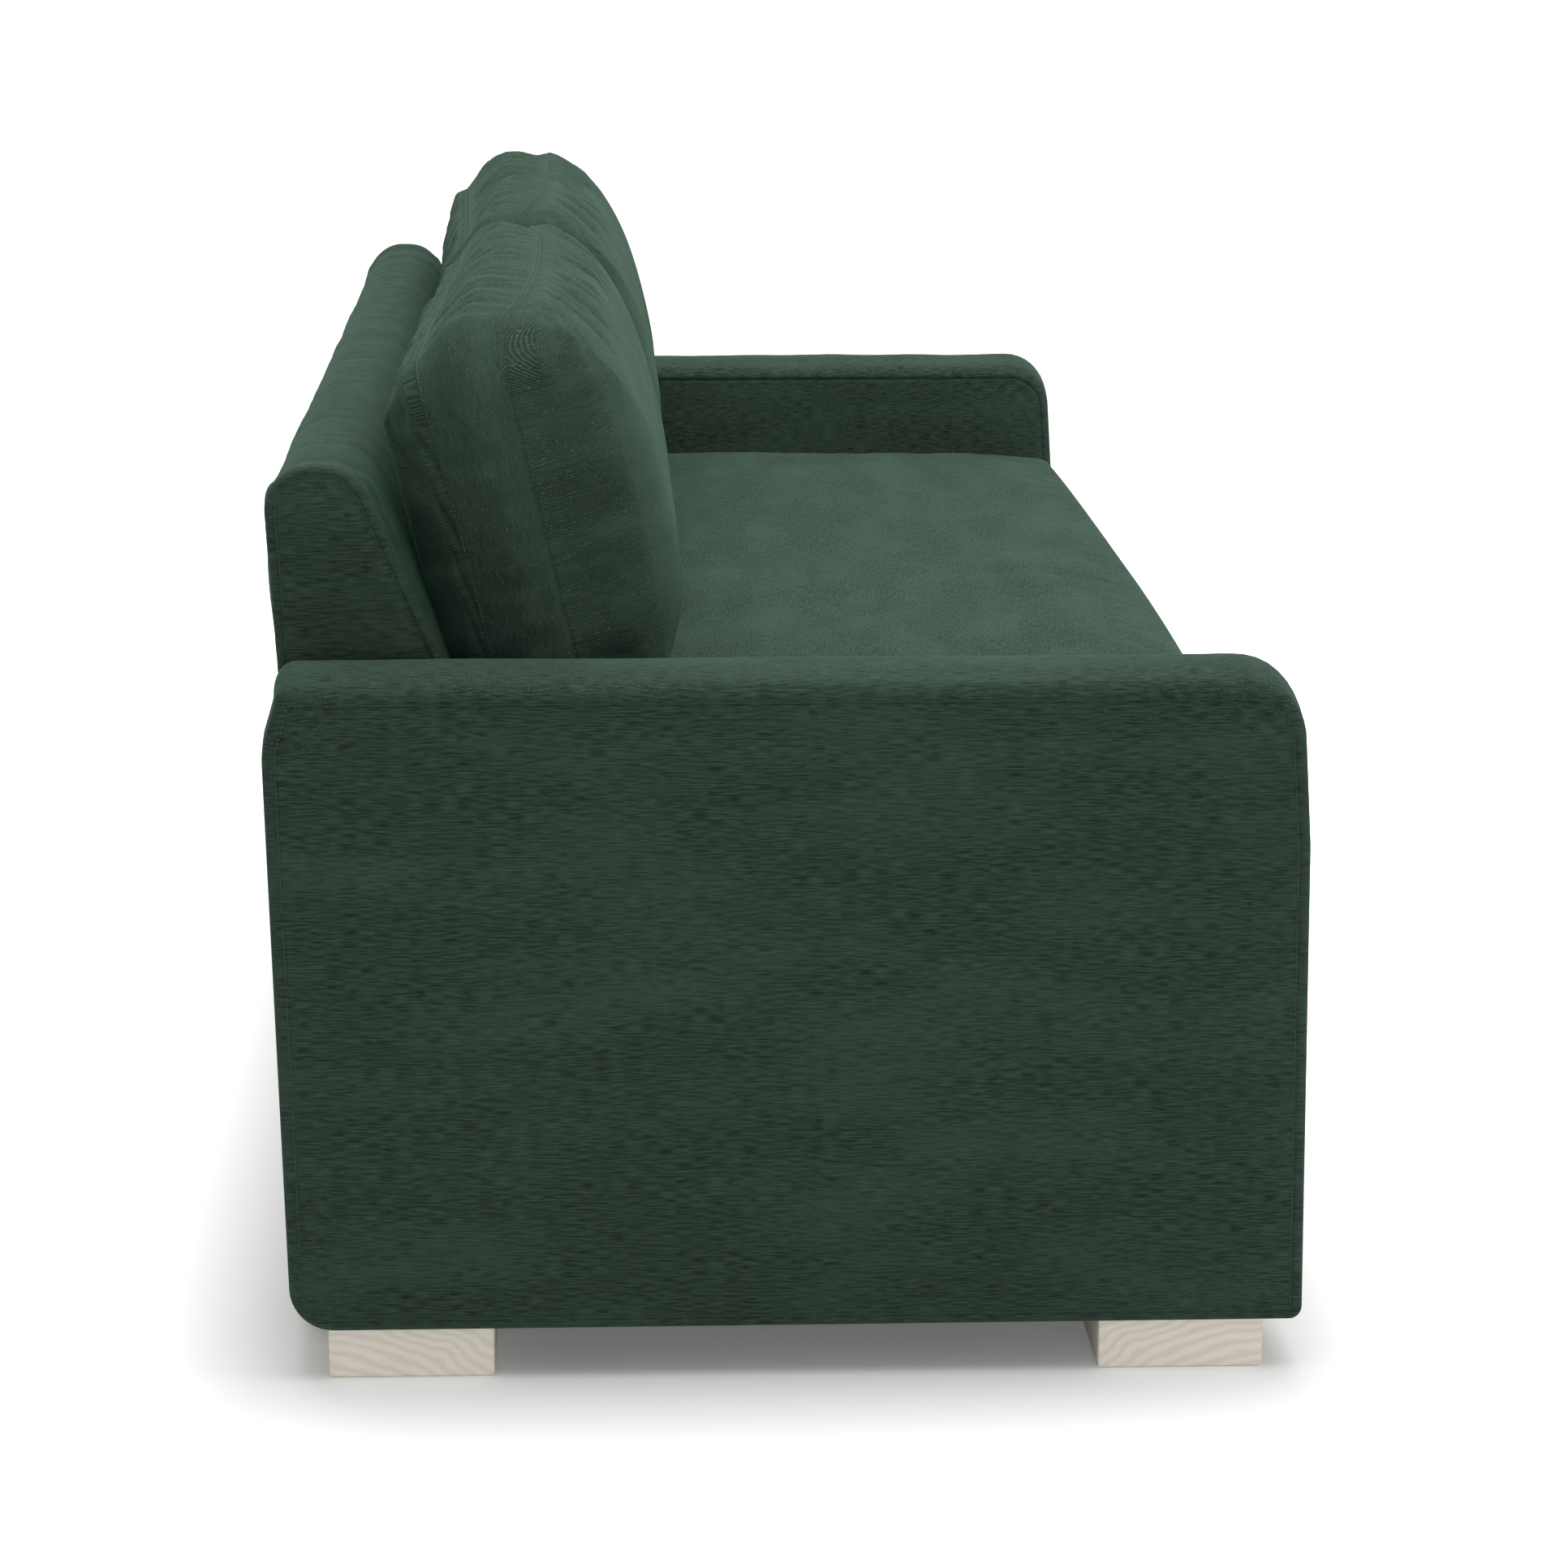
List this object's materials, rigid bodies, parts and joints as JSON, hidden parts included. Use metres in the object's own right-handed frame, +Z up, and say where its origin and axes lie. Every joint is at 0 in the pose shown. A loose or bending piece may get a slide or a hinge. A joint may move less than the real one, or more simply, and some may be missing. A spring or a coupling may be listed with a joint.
{
  "type": "futon sofa bed",
  "caption": "Upholstered three-seat sofa bed: the seat rolls forward while the backrest hinged to it lies down flat; loose back cushions lift off.",
  "frame": {"origin": "on the floor under the middle of the sofa's overall box", "axes": "+X along the sofa's length, towards the right arm as seen from the front; +Y from the front to the back; +Z up"},
  "size_m": [2.15, 0.8851, 0.9037],
  "materials": {
    "woven_upholstery": "matte",
    "foot_timber": "matte",
    "frame_timber": "matte",
    "zinc_steel": "satin",
    "roller_nylon": "satin"
  },
  "bodies": {
    "base": {"arm_inner_board_left": "frame_timber", "arm_inner_board_right": "frame_timber", "arm_outer_board_left": "frame_timber", "arm_outer_board_right": "frame_timber", "arm_padding_left": "woven_upholstery", "arm_padding_right": "woven_upholstery", "arm_rails_left": "frame_timber", "arm_rails_right": "frame_timber", "foot_bolts": "zinc_steel", "foot_front_left": "foot_timber", "foot_front_right": "foot_timber", "foot_rear_left": "foot_timber", "foot_rear_right": "foot_timber", "front_stretcher": "frame_timber", "guide_plate_left": "zinc_steel", "guide_plate_right": "zinc_steel", "guide_plate_screws": "zinc_steel", "middle_stretcher": "frame_timber", "rear_panel_board": "frame_timber", "rear_panel_padding": "woven_upholstery", "runner_screws": "zinc_steel", "seat_runner_left": "zinc_steel", "seat_runner_right": "zinc_steel", "stretcher_brackets": "zinc_steel"},
    "cushion_left": {"back_cushion_left": "woven_upholstery"},
    "cushion_right": {"back_cushion_right": "woven_upholstery"},
    "backrest": {"backrest_bottom_board": "frame_timber", "backrest_end_board_left": "frame_timber", "backrest_end_board_right": "frame_timber", "backrest_padding": "woven_upholstery", "backrest_ribs": "frame_timber", "backrest_top_rail": "frame_timber", "guide_pin_left": "zinc_steel", "guide_pin_right": "zinc_steel", "hinge_back_leaves": "zinc_steel"},
    "seat": {"front_fascia_board": "frame_timber", "front_fascia_padding": "woven_upholstery", "hinge_pins": "zinc_steel", "hinge_seat_leaves": "zinc_steel", "roller_axles": "zinc_steel", "seat_cross_rail_1": "frame_timber", "seat_cross_rail_2": "frame_timber", "seat_cross_rail_3": "frame_timber", "seat_end_rail_left": "frame_timber", "seat_end_rail_right": "frame_timber", "seat_front_rail": "frame_timber", "seat_mattress": "woven_upholstery", "seat_rear_board": "frame_timber", "seat_rear_rail": "frame_timber", "seat_slats": "frame_timber"},
    "roller_front_left": {"roller_front_left": "roller_nylon"},
    "roller_front_right": {"roller_front_right": "roller_nylon"},
    "roller_rear_left": {"roller_rear_left": "roller_nylon"},
    "roller_rear_right": {"roller_rear_right": "roller_nylon"}
  },
  "joints": [
    {"name": "seat_slide", "type": "slide", "parent": "base", "child": "seat", "axis": [0, -1, 0], "range_m": [0, 0.145]},
    {"name": "backrest_recline", "type": "hinge", "parent": "seat", "child": "backrest", "pos_m": [0, 0.24045, 0.48], "axis": [-1, 0, 0], "range_deg": [0, 66.5]},
    {"name": "roller_front_left_spin", "type": "hinge", "parent": "seat", "child": "roller_front_left", "pos_m": [-0.928, -0.24755, 0.275], "axis": [1, 0, 0], "range_deg": [0, 600]},
    {"name": "roller_front_right_spin", "type": "hinge", "parent": "seat", "child": "roller_front_right", "pos_m": [0.928, -0.24755, 0.275], "axis": [1, 0, 0], "range_deg": [0, 600]},
    {"name": "roller_rear_left_spin", "type": "hinge", "parent": "seat", "child": "roller_rear_left", "pos_m": [-0.928, 0.12245, 0.275], "axis": [1, 0, 0], "range_deg": [0, 600]},
    {"name": "roller_rear_right_spin", "type": "hinge", "parent": "seat", "child": "roller_rear_right", "pos_m": [0.928, 0.12245, 0.275], "axis": [1, 0, 0], "range_deg": [0, 600]},
    {"name": "cushion_left_lift", "type": "slide", "parent": "seat", "child": "cushion_left", "axis": [0, 0, 1], "range_m": [0, 0.45]},
    {"name": "cushion_right_lift", "type": "slide", "parent": "seat", "child": "cushion_right", "axis": [0, 0, 1], "range_m": [0, 0.45]}
  ],
  "couplings": [
    {"joint": "backrest_recline", "follows": "seat_slide", "rad_per_m": 8.0044},
    {"joint": "roller_front_left_spin", "follows": "seat_slide", "rad_per_m": 71.429},
    {"joint": "roller_front_right_spin", "follows": "seat_slide", "rad_per_m": 71.429},
    {"joint": "roller_rear_left_spin", "follows": "seat_slide", "rad_per_m": 71.429},
    {"joint": "roller_rear_right_spin", "follows": "seat_slide", "rad_per_m": 71.429}
  ]
}
